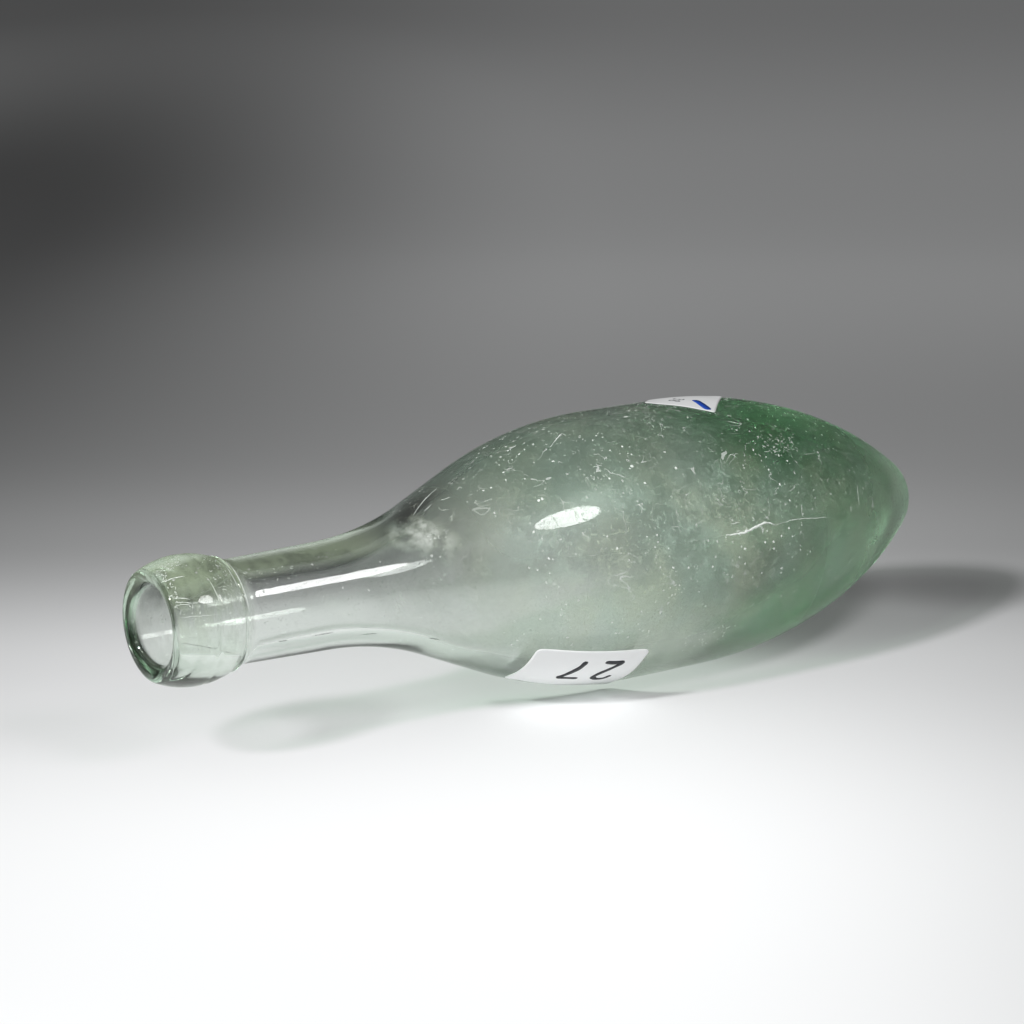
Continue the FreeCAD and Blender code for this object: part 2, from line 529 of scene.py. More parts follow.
stainFilm = {"start": 0.6, "under": 0.008, "over": 0.016, "gap": 0.006}
onFilm = stainFilm["over"] + stainFilm["gap"]  # flakes and scratches stand just clear of the stain
flakes = {
    "count": 2000,
    "seed": 41,
    "small": 0.04,
    "large": 0.16,
    "height": 0.03,
    "topShare": 0.6,
    "corners": (5, 6, 7),
    "stretch": (0.5, 1.0),
    "colour": (0.66, 0.72, 0.66, 1.0),
    "start": 26.0,
    "tipMargin": 6.0,
    # few on the neck and underneath, and gathered in patches
    "fewest": 0.16,
    "crowdAlong": (80.0, 150.0),
    "crowdUpward": (-0.5, 0.7),
    "patchScale": 0.06,
    "betweenPatches": 0.25,
    "inPatches": 1.5,
    "blobs": [(123.9, 40.9, 0.55), (125.1, 49.7, 0.45), (136.0, 45.5, 0.50), (106.0, 26.5, 0.45),
              (101.0, 12.8, 0.50), (169.6, 47.0, 0.35)],
}
scratches = {
    "height": 0.02,
    "colour": (0.78, 0.83, 0.78, 1.0),
    "spacing": 0.5,
    "wander": 0.16,
    "wanderScale": 1.3,
    "endWidth": 0.25,
    "uneven": 0.8,
    "unevenScale": 1.1,
    "paths": [
        {"pen": 0.60, "spots": [(145.0, 77.1), (148.2, 77.4), (151.4, 77.3), (154.8, 76.0), (158.3, 75.0),
                                (161.0, 76.4)]},
        {"pen": 0.15, "spots": [(160.1, 76.9), (164.7, 76.2), (169.1, 76.0), (175.9, 77.1), (182.3, 78.2)]},
        {"pen": 0.18, "spots": [(147.1, 73.0), (149.7, 72.8)]},
        {"pen": 0.20, "spots": [(196.6, 64.6), (195.9, 70.1), (195.6, 75.5)]},
        {"pen": 0.17, "spots": [(71.3, 12.6), (74.6, 6.0), (77.9, 1.6), (81.2, -0.8)]},
        {"pen": 0.14, "spots": [(73.9, 14.9), (76.5, 12.6)]},
        {"pen": 0.16, "spots": [(78.8, 13.9), (80.8, 15.8)]},
        {"pen": 0.20, "spots": [(108.7, 17.0), (113.9, 11.3), (114.3, 14.0)]},
        {"pen": 0.20, "spots": [(100.9, 3.9), (102.6, 5.6)]},
        {"pen": 0.20, "spots": [(1.0, 27.1), (3.0, 28.5), (5.6, 30.7)]},
        {"pen": 0.13, "spots": [(1.2, 48.5), (2.8, 51.0), (4.5, 54.1)]},
        {"pen": 0.12, "spots": [(1.2, 53.2), (3.0, 55.5), (4.7, 58.0)]},
        {"pen": 0.10, "spots": [(1.2, 56.2), (2.7, 57.5), (4.2, 58.5)]},
        {"pen": 0.08, "spots": [(1.2, 68.3), (4.0, 69.8), (7.4, 71.0), (10.7, 72.0)]},
        # painted highlight: this pale stroke along the tool line stands for the bright ring there, not a
        # scratch
        {"pen": 0.32, "spots": [(19.4, 12.0), (19.5, 30.0), (19.4, 46.0), (19.5, 60.0), (19.4, 75.0)]},
        {"pen": 0.16, "spots": [(18.0, 22.0), (17.9, 36.0), (18.0, 48.0)]},
        {"pen": 0.14, "spots": [(10.7, 40.0), (11.1, 50.0), (11.4, 60.0)]},
    ],
}
scuffs = {
    "seed": 17,
    "pen": (0.07, 0.14),
    "steps": (1, 3),
    "stride": 0.26,
    "strideSpread": (0.6, 1.4),
    "bend": 0.9,
    "shake": 0.5,
    "spacing": 0.25,
    "groups": [
        {"spot": (171.5, 40.0), "reach": (6.0, 5.0), "count": 90},
        {"spot": (152.5, 76.3), "reach": (4.0, 1.3), "count": 18},
        {"spot": (143.0, 126.0), "reach": (9.0, 7.0), "count": 36},
        {"spot": (140.0, 17.5), "reach": (3.5, 8.0), "count": 50},
        {"spot": (112.8, 13.5), "reach": (5.0, 6.0), "count": 18},
        {"spot": (72.6, 41.5), "reach": (2.5, 5.0), "count": 14},
        {"spot": (150.0, 20.0), "reach": (45.0, 60.0), "count": 190},
        {"spot": (120.0, 230.0), "reach": (70.0, 90.0), "count": 70},
        {"spot": (1.6, 40.0), "reach": (0.7, 27.0), "count": 44},
        {"spot": (4.6, 9.0), "reach": (3.4, 9.0), "count": 30},
        {"spot": (14.6, 32.0), "reach": (2.6, 22.0), "count": 44},
        {"spot": (15.5, 66.0), "reach": (4.0, 15.0), "count": 18},
        {"spot": (5.2, 66.0), "reach": (1.2, 10.0), "count": 12},
        {"spot": (28.0, 38.0), "reach": (7.0, 10.0), "count": 26},
    ],
}


def buildStain(material):
    rings = [p for p in outsideTrace if p.x >= stainFilm["start"] and p.y > bottleGlass["boreRadius"]
             or p.x > bottleGlass["bellyEnd"]]
    mesh = bmesh.new()
    shells = []
    for height in (stainFilm["under"], stainFilm["over"]):
        def lifted(station, angle, radius, height=height):
            return outsideRadius(station, angle, radius) + height
        shells.append(addRings(mesh, rings, lifted, False))
        for first, second in zip(shells[-1], shells[-1][1:]):
            bridgeRings(mesh, first, second)
        closeTip(mesh, shells[-1][-1], inFrame(bottleLength + height, 0, 0))
    bridgeRings(mesh, shells[0][0], shells[1][0])
    bmesh.ops.recalc_face_normals(mesh, faces=mesh.faces)
    return addPiece("stainFilm", mesh, material)


def addFlake(mesh, dice, station, angle, radius, size):
    corners = dice.choice(flakes["corners"])
    turn = dice.uniform(0, math.tau)
    stretch = dice.uniform(*flakes["stretch"])
    rims = []
    for height, share in ((0.0, 1.0), (flakes["height"], flakes["topShare"])):
        rim = []
        for i in range(corners):
            a = math.tau * i / corners
            u, v = math.cos(a) * size * share, math.sin(a) * size * share * stretch
            along = u * math.cos(turn) - v * math.sin(turn)
            around = u * math.sin(turn) + v * math.cos(turn)
            rim.append(mesh.verts.new(
                onGlass(station + along, angle + around / radius, onFilm + height)))
        rims.append(rim)
    bridgeRings(mesh, rims[0], rims[1])
    mesh.faces.new(rims[0][::-1])
    mesh.faces.new(rims[1])


def flakeChance(station, angle, radius):
    f = flakes
    crowd = smoothStep(*f["crowdAlong"], station) * smoothStep(*f["crowdUpward"], math.cos(angle))
    spot = Vector((station * f["patchScale"], angle * radius * f["patchScale"], 5.0))
    patch = 0.5 + 0.5 * noise.noise(spot)
    gathered = f["betweenPatches"] + f["inPatches"] * patch ** 2
    return (f["fewest"] + (1 - f["fewest"]) * crowd) * gathered * radius / bellyRadius


def buildFlakes(material):
    f = flakes
    dice = random.Random(f["seed"])
    mesh = bmesh.new()
    for station, degrees, size in f["blobs"]:
        addFlake(mesh, dice, station, math.radians(degrees), traceRadius(bodyTrace, station), size)
    made = 0
    while made < f["count"]:
        station = dice.uniform(f["start"], bottleLength - f["tipMargin"])
        angle = dice.uniform(-math.pi, math.pi)
        radius = traceRadius(bodyTrace, station)
        if dice.random() > flakeChance(station, angle, radius):
            continue
        size = f["small"] + (f["large"] - f["small"]) * dice.random() ** 3
        addFlake(mesh, dice, station, angle, radius, size)
        made += 1
    return addPiece("paleFlakes", mesh, material)


def onScratch(station, around, height):
    return onGlass(station, around / traceRadius(bodyTrace, station), height)


def besideTop(station, degrees):
    return Vector((station, math.radians(degrees) * traceRadius(bodyTrace, station)))


def addScratch(mesh, spots, pen, spacing):
    s = scratches
    line = [p + Vector((0, s["wander"] * noise.noise(p.to_3d() * s["wanderScale"])))
            for p in smoothPath(spots, spacing)]
    widths = []
    for i, p in enumerate(line):
        taper = s["endWidth"] + (1 - s["endWidth"]) * math.sin(math.pi * (i + 0.5) / len(line))
        widths.append(pen * taper * (1 + s["uneven"] * noise.noise(p.to_3d() * s["unevenScale"])))
    addRibbon(mesh, line, widths, onScratch, onFilm, onFilm + s["height"])


def addScuffs(mesh, dice, group):
    s = scuffs
    for i in range(group["count"]):
        station = group["spot"][0] + group["reach"][0] * dice.uniform(-1, 1)
        degrees = group["spot"][1] + group["reach"][1] * dice.uniform(-1, 1)
        spots = [besideTop(station, degrees)]
        heading = dice.uniform(0, math.tau)
        bend = dice.uniform(-s["bend"], s["bend"])
        for step in range(dice.randint(*s["steps"])):
            heading += bend + dice.uniform(-s["shake"], s["shake"])
            stride = s["stride"] * dice.uniform(*s["strideSpread"])
            spots.append(spots[-1] + Vector((math.cos(heading), math.sin(heading))) * stride)
        addScratch(mesh, spots, dice.uniform(*s["pen"]), s["spacing"])


def buildScratches(material):
    mesh = bmesh.new()
    for path in scratches["paths"]:
        spots = [besideTop(station, degrees) for station, degrees in path["spots"]]
        addScratch(mesh, spots, path["pen"], scratches["spacing"])
    dice = random.Random(scuffs["seed"])
    for group in scuffs["groups"]:
        addScuffs(mesh, dice, group)
    return addPiece("paleScratchesAndHighlight", mesh, material)


# materials

def newMaterial(name):
    material = bpy.data.materials.new(name)
    material.use_nodes = True
    tree = material.node_tree
    return material, tree, tree.nodes["Principled BSDF"]


def connect(tree, value, socket):
    if isinstance(value, bpy.types.NodeSocket):
        tree.links.new(value, socket)
    else:
        socket.default_value = value


def setSockets(tree, node, **values):
    for name, value in values.items():
        connect(tree, value, node.inputs[name.replace("_", " ")])


def addNode(tree, kind, **values):
    node = tree.nodes.new(kind)
    setSockets(tree, node, **values)
    return node


def reckon(tree, operation, first, second):
    node = tree.nodes.new("ShaderNodeMath")
    node.operation = operation
    connect(tree, first, node.inputs[0])
    connect(tree, second, node.inputs[1])
    return node.outputs["Value"]


def product(tree, first, *others):
    for other in others:
        first = reckon(tree, "MULTIPLY", first, other)
    return first


def reckonVector(tree, operation, *values):
    node = tree.nodes.new("ShaderNodeVectorMath")
    node.operation = operation
    for value, socket in zip(values, node.inputs):
        connect(tree, value, socket)
    return node.outputs["Value" if operation in ("DISTANCE", "DOT_PRODUCT") else "Vector"]


def blend(tree, factor, first, second):
    node = tree.nodes.new("ShaderNodeMix")
    node.data_type = "RGBA"
    connect(tree, factor, node.inputs[0])
    connect(tree, first, node.inputs[6])
    connect(tree, second, node.inputs[7])
    return node.outputs[2]


def fade(tree, value, start, end, low=0.0, high=1.0):
    node = addNode(tree, "ShaderNodeMapRange", Value=value, From_Min=start, From_Max=end,
                   To_Min=low, To_Max=high)
    node.interpolation_type = "SMOOTHSTEP"
    return node.outputs["Result"]


def letLampsThrough(tree, shader, share, colour=(1.0, 1.0, 1.0, 1.0)):
    path = tree.nodes.new("ShaderNodeLightPath")
    clear = addNode(tree, "ShaderNodeBsdfTransparent", Color=colour)
    either = tree.nodes.new("ShaderNodeMixShader")
    connect(tree, reckon(tree, "MULTIPLY", path.outputs["Is Shadow Ray"], share), either.inputs["Fac"])
    connect(tree, shader.outputs["BSDF"], either.inputs[1])
    connect(tree, clear.outputs["BSDF"], either.inputs[2])
    connect(tree, either.outputs["Shader"], tree.nodes["Material Output"].inputs["Surface"])


# stain, specks and hairlines of old glass, for the glass itself and the film on it

oldGlass = {
    "noises": {
        "wide": {"Scale": 55.0, "Detail": 5.0, "Roughness": 0.6},
        "fine": {"Scale": 210.0, "Detail": 4.0, "Roughness": 0.65},
        "wisps": {"Scale": 520.0, "Detail": 5.0, "Roughness": 0.7, "Distortion": 1.6},
        "shake": {"Scale": 2400.0, "Detail": 1.0},
        "crowd": {"Scale": 70.0, "Detail": 3.0},
        "bend": {"Scale": 130.0, "Detail": 2.0, "Distortion": 0.8},
        "broken": {"Scale": 190.0, "Detail": 2.0},
        "tone": {"Scale": 48.0, "Detail": 2.0},
    },
    "fineShare": 0.8,
    "cloudRange": (0.72, 1.10),
    "grainRange": (0.50, 0.72),
    "speckScale": 1050.0,
    "speckShake": 0.0007,
    "speckPower": 4.0,
    "speckReach": 0.34,
    "crowdRange": (0.40, 0.60),
    "hairWidth": 0.0045,
    "hairKept": 0.54,
    "toneRange": (0.38, 0.62),
}


def wearGroup():
    w = oldGlass
    group = bpy.data.node_groups.new("oldGlassWear", "ShaderNodeTree")
    group.interface.new_socket("Place", in_out="INPUT", socket_type="NodeSocketVector")
    for name in ("Cloud", "Grain", "Specks", "Hairlines", "Tone"):
        group.interface.new_socket(name, in_out="OUTPUT", socket_type="NodeSocketFloat")
    place = group.nodes.new("NodeGroupInput").outputs["Place"]
    give = group.nodes.new("NodeGroupOutput")
    noises = {name: addNode(group, "ShaderNodeTexNoise", Vector=place, **values)
              for name, values in w["noises"].items()}
    level = {name: node.outputs["Fac"] for name, node in noises.items()}
    mottle = reckon(group, "ADD", level["wide"], reckon(group, "MULTIPLY", level["fine"], w["fineShare"]))
    connect(group, fade(group, mottle, *w["cloudRange"]), give.inputs["Cloud"])
    connect(group, fade(group, level["wisps"], *w["grainRange"]), give.inputs["Grain"])
    # ragged specks: cells whose edges are shaken by a fine noise
    ragged = reckonVector(group, "MULTIPLY_ADD", noises["shake"].outputs["Color"],
                          (w["speckShake"],) * 3, place)
    cells = addNode(group, "ShaderNodeTexVoronoi", Vector=ragged, Scale=w["speckScale"])
    shade = addNode(group, "ShaderNodeSeparateColor", Color=cells.outputs["Color"])
    uneven = reckon(group, "POWER", shade.outputs["Red"], w["speckPower"])
    spot = reckon(group, "LESS_THAN", cells.outputs["Distance"],
                  reckon(group, "MULTIPLY", uneven, w["speckReach"]))
    crowd = fade(group, level["crowd"], *w["crowdRange"])
    connect(group, reckon(group, "MULTIPLY", spot, crowd), give.inputs["Specks"])
    # hairlines: where a bent noise crosses its middle, broken up by another
    away = reckon(group, "ABSOLUTE", reckon(group, "SUBTRACT", level["bend"], 0.5), 0.0)
    line = reckon(group, "LESS_THAN", away, w["hairWidth"])
    kept = reckon(group, "GREATER_THAN", level["broken"], w["hairKept"])
    connect(group, reckon(group, "MULTIPLY", line, kept), give.inputs["Hairlines"])
    connect(group, fade(group, level["tone"], *w["toneRange"]), give.inputs["Tone"])
    return group


def addWear(tree, group):
    place = tree.nodes.new("ShaderNodeTexCoord").outputs["Object"]
    wear = tree.nodes.new("ShaderNodeGroup")
    wear.node_tree = group
    connect(tree, place, wear.inputs["Place"])
    return place, wear


# ranges say where a change begins and ends, in the frame's metres along X unless named otherwise,
# and some go on with the values at both ends

glassFinish = {
    "lipTint": (0.95, 0.98, 0.95, 1.0),
    "tint": (0.985, 0.995, 0.985, 1.0),
    "tipTint": (0.56, 0.72, 0.57, 1.0),
    # painted shade: the shoulder, top and under tints put a darker, deeper green on the upper shoulder, along
    # the top and on the lower front
    "shoulderPaintedShade": (0.74, 0.88, 0.77, 1.0),
    "topPaintedShade": (0.20, 0.50, 0.25, 1.0),
    "underPaintedShade": (0.15, 0.42, 0.19, 1.0),
    "lipFoot": (-0.002, 0.002),
    "tipFrom": (0.015, 0.085),
    "shoulderFrom": (-0.045, -0.015),
    "shoulderTo": (0.0, 0.03, 1.0, 0.3),
    "shoulderHeight": (0.044, 0.058),
    "topFrom": (0.022, 0.052),
    "topHeight": (0.046, 0.060),
    "underFrom": (0.030, 0.055),
    "underHeight": (0.030, 0.016),
    "underSide": (-0.004, -0.014),
    "ior": 1.5,
    "absorbColour": (0.22, 0.56, 0.29, 1.0),
    "absorbDensity": 12.0,
    "lampsThrough": (0.985, 0.99, 0.985, 1.0),
    "lampsLip": 0.93,
    "lampsLipTo": (-0.098, -0.088),
    "lampsTip": 0.45,
    "lampsTipFrom": (0.030, 0.090),
    "outside": 0.02,
    "outsideHazy": 0.07,
    "hazyCloud": (0.2, 1.0),
    "outsideTip": 0.30,
    "outsideTipFrom": (0.055, 0.100),
    "insideNeck": 0.05,
    "insideBelly": 0.18,
    "insideBellyFrom": (-0.055, -0.005),
    "insideUpper": 0.38,
    "insideUpperFrom": (-0.045, -0.025),
    "insideUpperHeight": (0.036, 0.048),
    "insideTip": 0.24,
    "insideTipFrom": (0.045, 0.095),
    "neckLean": 0.0045,
    "neckLeanFrom": (-0.100, -0.045),
}


def glassTintAndPaintedShade(tree, along, side, height):
    f = glassFinish
    lipFoot = [lipHigh.x + step for step in f["lipFoot"]]
    # the shoulder, top and under masks place painted shade as a deeper green tint
    shoulder = product(tree, fade(tree, along, *f["shoulderFrom"]), fade(tree, along, *f["shoulderTo"]),
                       fade(tree, height, *f["shoulderHeight"]))
    top = product(tree, fade(tree, along, *f["topFrom"]), fade(tree, height, *f["topHeight"]))
    under = product(tree, fade(tree, along, *f["underFrom"]), fade(tree, height, *f["underHeight"]),
                    fade(tree, side, *f["underSide"]))
    tint = blend(tree, fade(tree, along, *lipFoot), f["lipTint"], f["tint"])
    tint = blend(tree, fade(tree, along, *f["tipFrom"]), tint, f["tipTint"])
    for there, colour in ((shoulder, "shoulderPaintedShade"), (top, "topPaintedShade"), (under, "underPaintedShade")):
        tint = blend(tree, there, tint, f[colour])
    return tint


def glassMaterial(wearNodes):
    f = glassFinish
    material, tree, shader = newMaterial("greenGlass")
    setSockets(tree, shader, Transmission_Weight=1.0, IOR=f["ior"])
    place, wear = addWear(tree, wearNodes)
    split = addNode(tree, "ShaderNodeSeparateXYZ", Vector=place)
    along, side, height = (split.outputs[axis] for axis in "XYZ")
    # deeper green where the wall grows towards the base; the deeper green on the upper side and on the lower
    # front is painted shade
    connect(tree, glassTintAndPaintedShade(tree, along, side, height), shader.inputs["Base Color"])
    # the inside is rougher than the outside, most of all above
    hazy = fade(tree, wear.outputs["Cloud"], *f["hazyCloud"], f["outside"], f["outsideHazy"])
    outside = reckon(tree, "ADD", hazy, fade(tree, along, *f["outsideTipFrom"], 0.0, f["outsideTip"]))
    upper = fade(tree, height, *f["insideUpperHeight"], f["insideBelly"], f["insideUpper"])
    upper = reckon(tree, "MULTIPLY", fade(tree, along, *f["insideUpperFrom"]), upper)
    lower = fade(tree, along, *f["insideBellyFrom"], f["insideNeck"], f["insideBelly"])
    lower = reckon(tree, "ADD", lower, fade(tree, along, *f["insideTipFrom"], 0.0, f["insideTip"]))
    inside = reckon(tree, "MAXIMUM", upper, lower)
    mark = tree.nodes.new("ShaderNodeAttribute")
    mark.attribute_name = "insideWall"
    roughness = tree.nodes.new("ShaderNodeMix")
    setSockets(tree, roughness, Factor=mark.outputs["Fac"], A=outside, B=inside)
    connect(tree, roughness.outputs["Result"], shader.inputs["Roughness"])
    # the neck's shading leans a little towards the mouth, which draws the lamp's streak along it
    lean = reckon(tree, "MULTIPLY", fade(tree, along, *f["neckLeanFrom"], 0.0, f["neckLean"]),
                  reckon(tree, "SUBTRACT", 1.0, mark.outputs["Fac"]))
    bump = addNode(tree, "ShaderNodeBump", Strength=1.0, Distance=1.0, Height=lean)
    connect(tree, bump.outputs["Normal"], shader.inputs["Normal"])
    # lamps shine through the glass, so that floor and stain behind it are lit
    share = reckon(tree, "SUBTRACT", fade(tree, along, *f["lampsLipTo"], f["lampsLip"], 1.0),
                   fade(tree, along, *f["lampsTipFrom"], 0.0, 1.0 - f["lampsTip"]))
    letLampsThrough(tree, shader, share, f["lampsThrough"])
    volume = addNode(tree, "ShaderNodeVolumeAbsorption", Color=f["absorbColour"],
                     Density=f["absorbDensity"])
    connect(tree, volume.outputs["Volume"], tree.nodes["Material Output"].inputs["Volume"])
    return material


stainFinish = {
    "bluish": (0.53, 0.69, 0.58, 1.0),
    "olive": (0.58, 0.66, 0.50, 1.0),
    "chalk": (0.86, 0.90, 0.86, 1.0),
    "lipTone": (0.38, 0.46, 0.32, 1.0),
    "lampsThrough": 0.7,
    "thin": 0.05,
    "thick": 0.16,
    "grain": 0.24,
    "hazeFrom": (-0.055, 0.0),
    "hazeTo": (0.025, 0.060, 1.0, 0.45),
    "hazeFoot": (0.004, 0.028, 0.25, 1.0),
    "hazeTop": (0.048, 0.064, 1.0, 0.25),
    "patches": [(68.7, 32.0, 8.5, 0.26), (73.0, 52.0, 6.0, 0.16)],
    "patchCore": 0.3,
    "lipFoot": (-0.003, 0.001),
    "neckEnd": (-0.070, -0.045),
    "neckTop": 0.20,
    "neckUpward": (0.72, 0.90),
    "lipTop": 0.26,
    "lipUpward": (0.35, 0.90),
    "bloomCloud": (0.0, 0.8, 0.55, 1.0),
    "lipStreaks": 0.14,
    "streakScale": (420.0, 150.0, 150.0),
    "streakRange": (0.36, 0.66),
    "streakUpward": (-0.5, 0.5, 0.3, 1.0),
    "specks": 0.75,
    "hairlines": 0.24,
    "marksFrom": (-0.060, 0.0, 0.35, 1.0),
    "marksHeight": (0.006, 0.040, 0.3, 1.0),
    "whiteMarks": (0.0, 0.25),
    "whitePatches": (0.0, 0.2, 0.0, 0.7),
}


def bellyHaze(tree, wear, along, height):
    f = stainFinish
    haze = reckon(tree, "ADD", fade(tree, wear.outputs["Cloud"], 0.0, 1.0, f["thin"], f["thick"]),
                  reckon(tree, "MULTIPLY", wear.outputs["Grain"], f["grain"]))
    return product(tree, haze, fade(tree, height, *f["hazeFoot"]), fade(tree, height, *f["hazeTop"]),
                   fade(tree, along, *f["hazeFrom"]), fade(tree, along, *f["hazeTo"]))


def chalkPatches(tree, place, cloud):
    patches = 0.0
    for station, degrees, reach, strength in stainFinish["patches"]:
        away = reckonVector(tree, "DISTANCE", place, onGlass(station, math.radians(degrees), 0))
        core = reach * stainFinish["patchCore"]
        patch = fade(tree, away, core * mm, reach * mm, strength, 0.0)
        patches = reckon(tree, "ADD", patches, reckon(tree, "MULTIPLY", patch, cloud))
    return patches


def neckBloom(tree, place, along, cloud):
    f = stainFinish
    fromAxis = reckonVector(tree, "SUBTRACT", place, (0.0, 0.0, bellyRadius * mm))
    outward = reckonVector(tree, "NORMALIZE", reckonVector(tree, "MULTIPLY", fromAxis, (0.0, 1.0, 1.0)))
    upward = reckonVector(tree, "DOT_PRODUCT", outward, (0.0, 0.0, 1.0))
    lipFoot = [lipHigh.x + step for step in f["lipFoot"]]
    onLip = fade(tree, along, *lipFoot, 1.0, 0.0)
    onNeck = product(tree, fade(tree, along, *f["neckEnd"], f["neckTop"], 0.0),
                     reckon(tree, "SUBTRACT", 1.0, onLip), fade(tree, upward, *f["neckUpward"]))
    lipTop = product(tree, onLip, fade(tree, upward, *f["lipUpward"], 0.0, f["lipTop"]))
    bloom = product(tree, reckon(tree, "ADD", onNeck, lipTop), fade(tree, cloud, *f["bloomCloud"]))
    streaks = addNode(tree, "ShaderNodeTexNoise", Scale=1.0, Detail=4.0, Roughness=0.65,
                      Vector=reckonVector(tree, "MULTIPLY", place, f["streakScale"]))
    streaks = fade(tree, streaks.outputs["Fac"], *f["streakRange"], 0.0, f["lipStreaks"])
    return reckon(tree, "ADD", bloom, product(
        tree, onLip, fade(tree, upward, *f["streakUpward"]), streaks))


def stainMaterial(wearNodes):
    f = stainFinish
    material, tree, shader = newMaterial("mineralStain")
    setSockets(tree, shader, Roughness=0.9, Specular_IOR_Level=0.0)
    place, wear = addWear(tree, wearNodes)
    cloud = wear.outputs["Cloud"]
    split = addNode(tree, "ShaderNodeSeparateXYZ", Vector=place)
    along, height = split.outputs["X"], split.outputs["Z"]
    # haze: none on the neck, most half way up the belly, thin on top and underneath
    haze = bellyHaze(tree, wear, along, height)
    patches = chalkPatches(tree, place, cloud)
    haze = reckon(tree, "ADD", haze, patches)
    # an olive bloom along the top of the neck and lip, and fine streaks round the lip
    haze = reckon(tree, "ADD", haze, neckBloom(tree, place, along, cloud))
    # chalky marks, fewer on the neck
    specks = reckon(tree, "MULTIPLY", wear.outputs["Specks"], f["specks"])
    hairs = reckon(tree, "MULTIPLY", wear.outputs["Hairlines"], f["hairlines"])
    marks = product(tree, reckon(tree, "MAXIMUM", specks, hairs), fade(tree, height, *f["marksHeight"]),
                    fade(tree, along, *f["marksFrom"]))
    tone = blend(tree, wear.outputs["Tone"], f["bluish"], f["olive"])
    tone = blend(tree, fade(tree, along, *f["neckEnd"]), f["lipTone"], tone)
    white = reckon(tree, "MAXIMUM", fade(tree, marks, *f["whiteMarks"]),
                   fade(tree, patches, *f["whitePatches"]))
    connect(tree, blend(tree, white, tone, f["chalk"]), shader.inputs["Base Color"])
    connect(tree, reckon(tree, "MAXIMUM", marks, haze), shader.inputs["Alpha"])
    # the stain scatters light onwards, so it takes little from the lamps
    letLampsThrough(tree, shader, f["lampsThrough"])
    return material


def plainMaterial(name, colour, roughness):
    material, tree, shader = newMaterial(name)
    setSockets(tree, shader, Base_Color=colour, Roughness=roughness, Specular_IOR_Level=0.2)
    return material


paperFinish = {
    "white": (0.90, 0.91, 0.91, 1.0),
    "greyer": (0.66, 0.67, 0.67, 1.0),
    "roughness": 0.7,
    "sheen": 0.2,
    "lampsThrough": 0.55,
}


def paperMaterial(name, colour):
    f = paperFinish
    material, tree, shader = newMaterial(name)
    setSockets(tree, shader, Base_Color=colour, Roughness=f["roughness"], Specular_IOR_Level=f["sheen"])
    # thin paper glows through, so the floor close under it isn't black
    letLampsThrough(tree, shader, f["lampsThrough"])
    return material


oldGlassWear = wearGroup()
bottlePiece = buildBottle(glassMaterial(oldGlassWear))
print("bottle glass", len(bottlePiece.data.polygons), "faces")

# the top label is given a greyer paper colour than the front label
whitePaper = paperMaterial("labelPaper", paperFinish["white"])
greyerPaper = paperMaterial("greyerPaper", paperFinish["greyer"])
darkInk = plainMaterial("darkInk", inkColours["dark"], 0.5)
greyInk = plainMaterial("greyInk", inkColours["grey"], 0.6)
blueInk = plainMaterial("blueInk", inkColours["blue"], 0.5)
frontSize = (frontLabel["length"], frontLabel["height"])
topSize = (topLabel["side"], topLabel["side"])
buildLabel("frontLabel", frontLabel, *frontSize, onFrontLabel, "front_label", whitePaper)
buildLabel("topLabel", topLabel, *topSize, onTopLabel, "top_label", greyerPaper)
buildNumber("frontNumber", frontNumber, frontLabel, *frontSize, onFrontLabel, darkInk)
buildNumber("topNumber", topNumber, topLabel, *topSize, onTopLabel, greyInk)
buildBar(blueInk)
print("labels ready")

stainPiece = buildStain(stainMaterial(oldGlassWear))
buildFlakes(plainMaterial("paleMineral", flakes["colour"], 0.8))
buildScratches(plainMaterial("scratchesAndPaintedHighlight", scratches["colour"], 0.8))
print("wear ready", len(stainPiece.data.polygons), "stain faces")

# stage: pale floor that fades to grey behind, its colour painted with light and shade, two soft lamps and a
# camera where the photographer stood

stage = {
    "floorSize": 30.0,
    "awayFromCamera": (0.576, 0.817, 0.0),
    "acrossView": (0.817, -0.576, 0.0),
    "rampFrom": -0.25,
    "rampTo": 2.25,
    # the floor's greys are painted light and shade: a bright pool round the bottle, darker just behind it and
    # lighter again far off
    "paintedLightGreys": [(-0.21, 0.84), (-0.08, 0.93), (0.02, 0.88), (0.15, 0.53), (0.26, 0.46), (0.70, 0.82),
              (1.20, 0.95), (2.20, 0.85)],
    "cast": (0.99, 1.0, 1.005),
    # painted shade on the floor: darker far left, near right and in the far corner, and a painted shadow past
    # the bottle's tip
    "dark": {
        "left": {"spot": (0.80, -0.30), "squeeze": 0.25, "near": 0.04, "far": 0.34, "darkest": 0.22},
        "right": {"spot": (-0.10, 0.33), "squeeze": 0.7, "near": 0.18, "far": 0.33, "darkest": 0.72},
        "far": {"spot": (2.23, -0.50), "squeeze": 0.5, "near": 0.05, "far": 0.65, "darkest": 0.5},
        # a painted shadow past the bottle's tip
        "tip": {"spot": (0.093, 0.120), "squeeze": 1.7, "near": 0.005, "far": 0.050, "darkest": 0.70},
    },
    "worldLight": 0.15,
    "worldSeen": 0.05,
}


def paintedShadePatch(tree, along, across, patch):
    awayAlong = reckon(tree, "SUBTRACT", along, patch["spot"][0])
    awayAcross = reckon(tree, "SUBTRACT", across, patch["spot"][1])
    squeezed = reckon(tree, "MULTIPLY", awayAlong, patch["squeeze"])
    squares = [reckon(tree, "POWER", away, 2.0) for away in (squeezed, awayAcross)]
    distance = reckon(tree, "SQRT", reckon(tree, "ADD", *squares), 0.0)
    return fade(tree, distance, patch["near"], patch["far"], patch["darkest"], 1.0)


